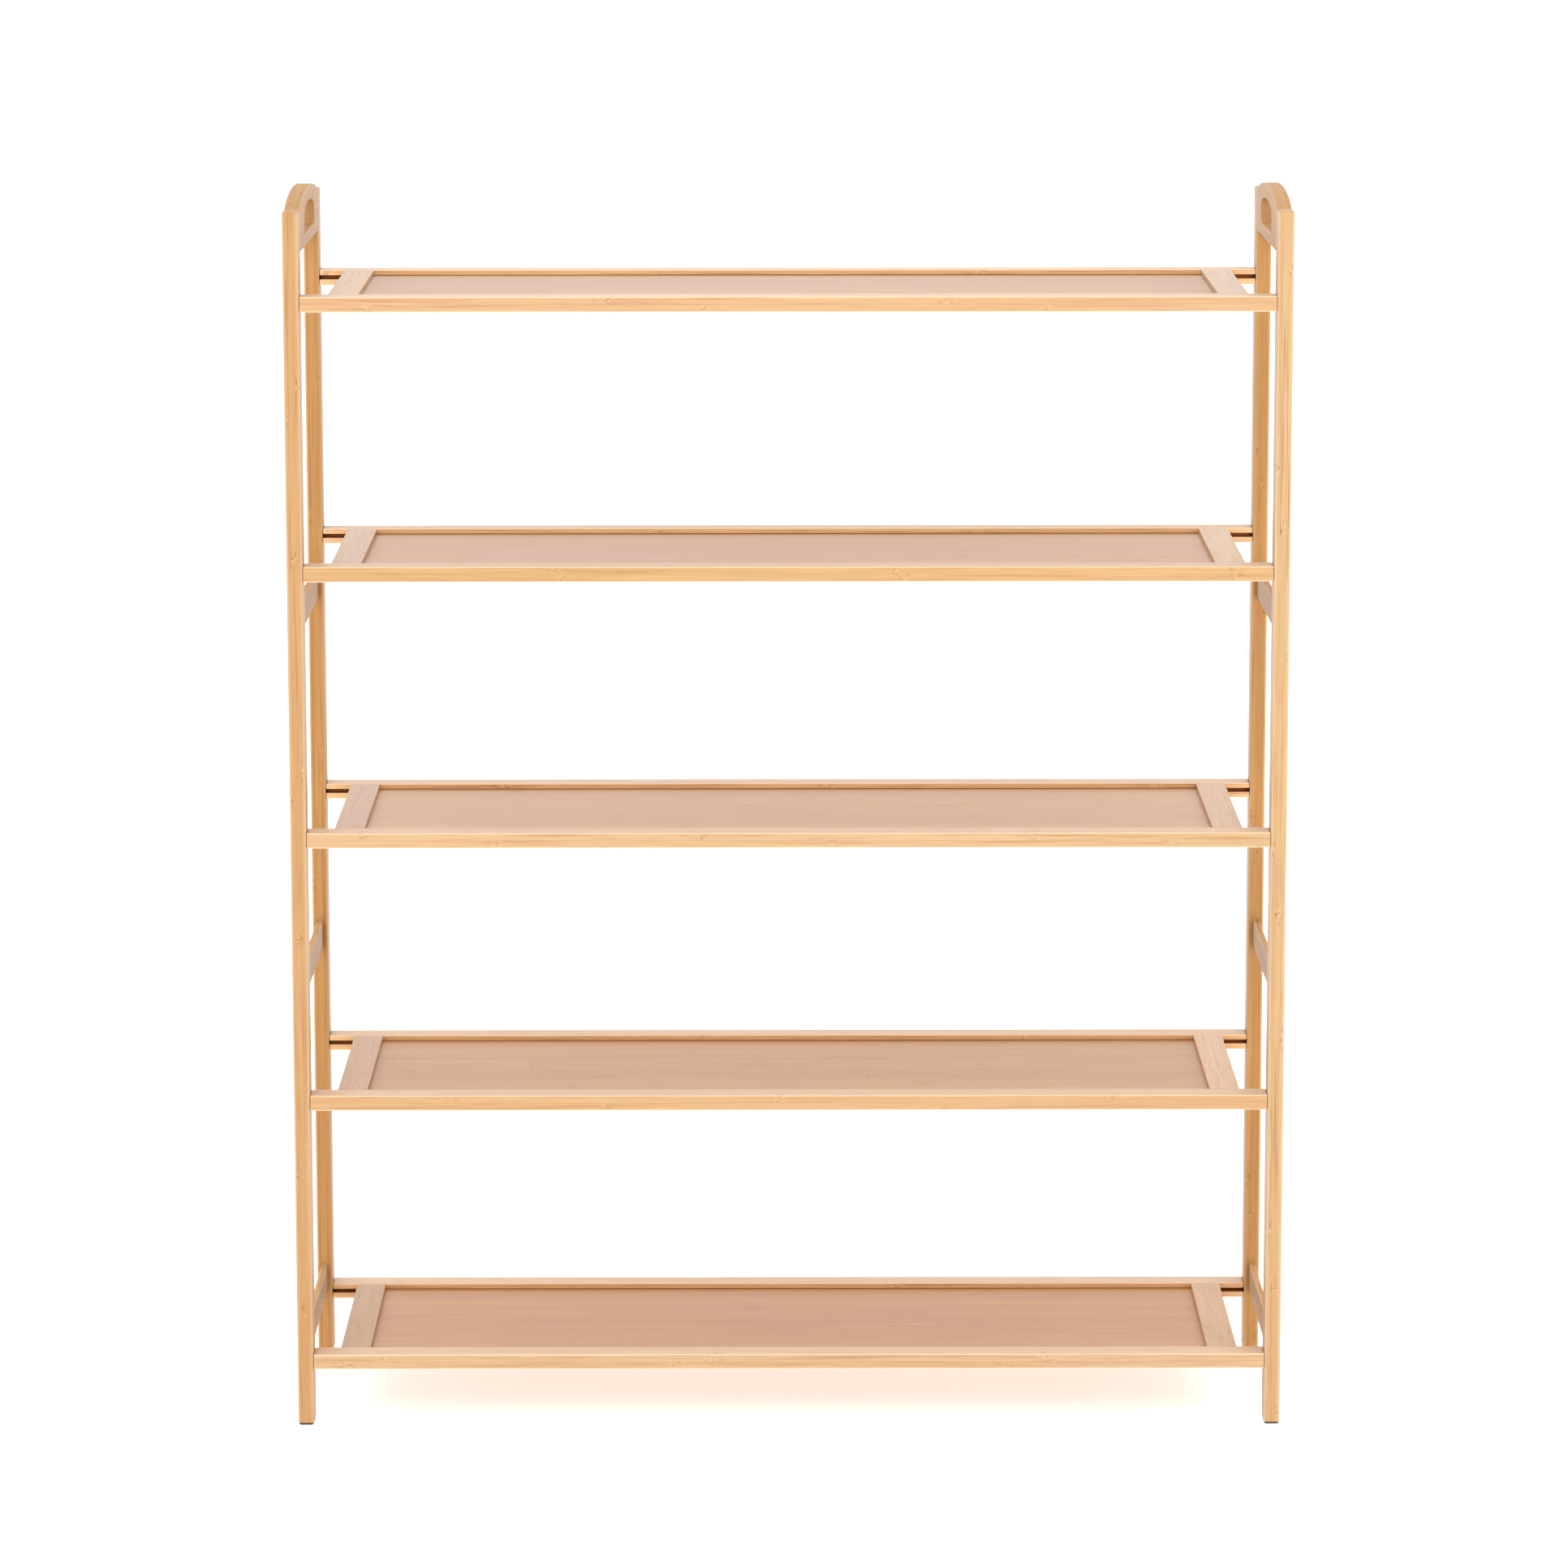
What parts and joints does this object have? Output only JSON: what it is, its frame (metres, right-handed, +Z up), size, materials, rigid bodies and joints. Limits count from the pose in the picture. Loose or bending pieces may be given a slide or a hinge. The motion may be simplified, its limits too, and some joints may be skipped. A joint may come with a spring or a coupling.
{
  "type": "tiered shoe rack",
  "caption": "Free-standing open shoe rack in laminated bamboo strip: two ladder side frames with arched slotted carrying handles, and framed thin panel shelves bolted between them.",
  "frame": {"origin": "on the floor, under the centre of the rack: the centre of the bounding box's bottom face", "axes": "+X to the right across the rack as its user faces it, +Y to the back, +Z up"},
  "size_m": [0.8, 0.25, 1],
  "materials": {
    "post_bamboo": "clear satin lacquer",
    "rail_bamboo": "clear satin lacquer",
    "panel_bamboo": "matt, thin clear lacquer",
    "dowel_wood": "plain beech, fluted dowel stock",
    "bolt_steel": "bright zinc plated",
    "insert_zinc": "yellow passivated zinc",
    "foot_rubber": "matt black"
  },
  "bodies": {
    "root": {"left_front_post": "post_bamboo", "left_rear_post": "post_bamboo", "right_front_post": "post_bamboo", "right_rear_post": "post_bamboo", "left_handle": "post_bamboo", "right_handle": "post_bamboo", "left_handle_dowels": "dowel_wood", "right_handle_dowels": "dowel_wood", "left_lower_slat": "post_bamboo", "left_middle_slat": "post_bamboo", "left_upper_slat": "post_bamboo", "right_lower_slat": "post_bamboo", "right_middle_slat": "post_bamboo", "right_upper_slat": "post_bamboo", "tier1_front_rail": "rail_bamboo", "tier1_rear_rail": "rail_bamboo", "tier1_left_stile": "rail_bamboo", "tier1_right_stile": "rail_bamboo", "tier1_panel": "panel_bamboo", "tier1_bolts": "bolt_steel", "tier1_inserts": "insert_zinc", "tier2_front_rail": "rail_bamboo", "tier2_rear_rail": "rail_bamboo", "tier2_left_stile": "rail_bamboo", "tier2_right_stile": "rail_bamboo", "tier2_panel": "panel_bamboo", "tier2_bolts": "bolt_steel", "tier2_inserts": "insert_zinc", "tier3_front_rail": "rail_bamboo", "tier3_rear_rail": "rail_bamboo", "tier3_left_stile": "rail_bamboo", "tier3_right_stile": "rail_bamboo", "tier3_panel": "panel_bamboo", "tier3_bolts": "bolt_steel", "tier3_inserts": "insert_zinc", "tier4_front_rail": "rail_bamboo", "tier4_rear_rail": "rail_bamboo", "tier4_left_stile": "rail_bamboo", "tier4_right_stile": "rail_bamboo", "tier4_panel": "panel_bamboo", "tier4_bolts": "bolt_steel", "tier4_inserts": "insert_zinc", "tier5_front_rail": "rail_bamboo", "tier5_rear_rail": "rail_bamboo", "tier5_left_stile": "rail_bamboo", "tier5_right_stile": "rail_bamboo", "tier5_panel": "panel_bamboo", "tier5_bolts": "bolt_steel", "tier5_inserts": "insert_zinc", "left_front_foot": "foot_rubber", "left_rear_foot": "foot_rubber", "right_front_foot": "foot_rubber", "right_rear_foot": "foot_rubber"}
  },
  "joints": []
}
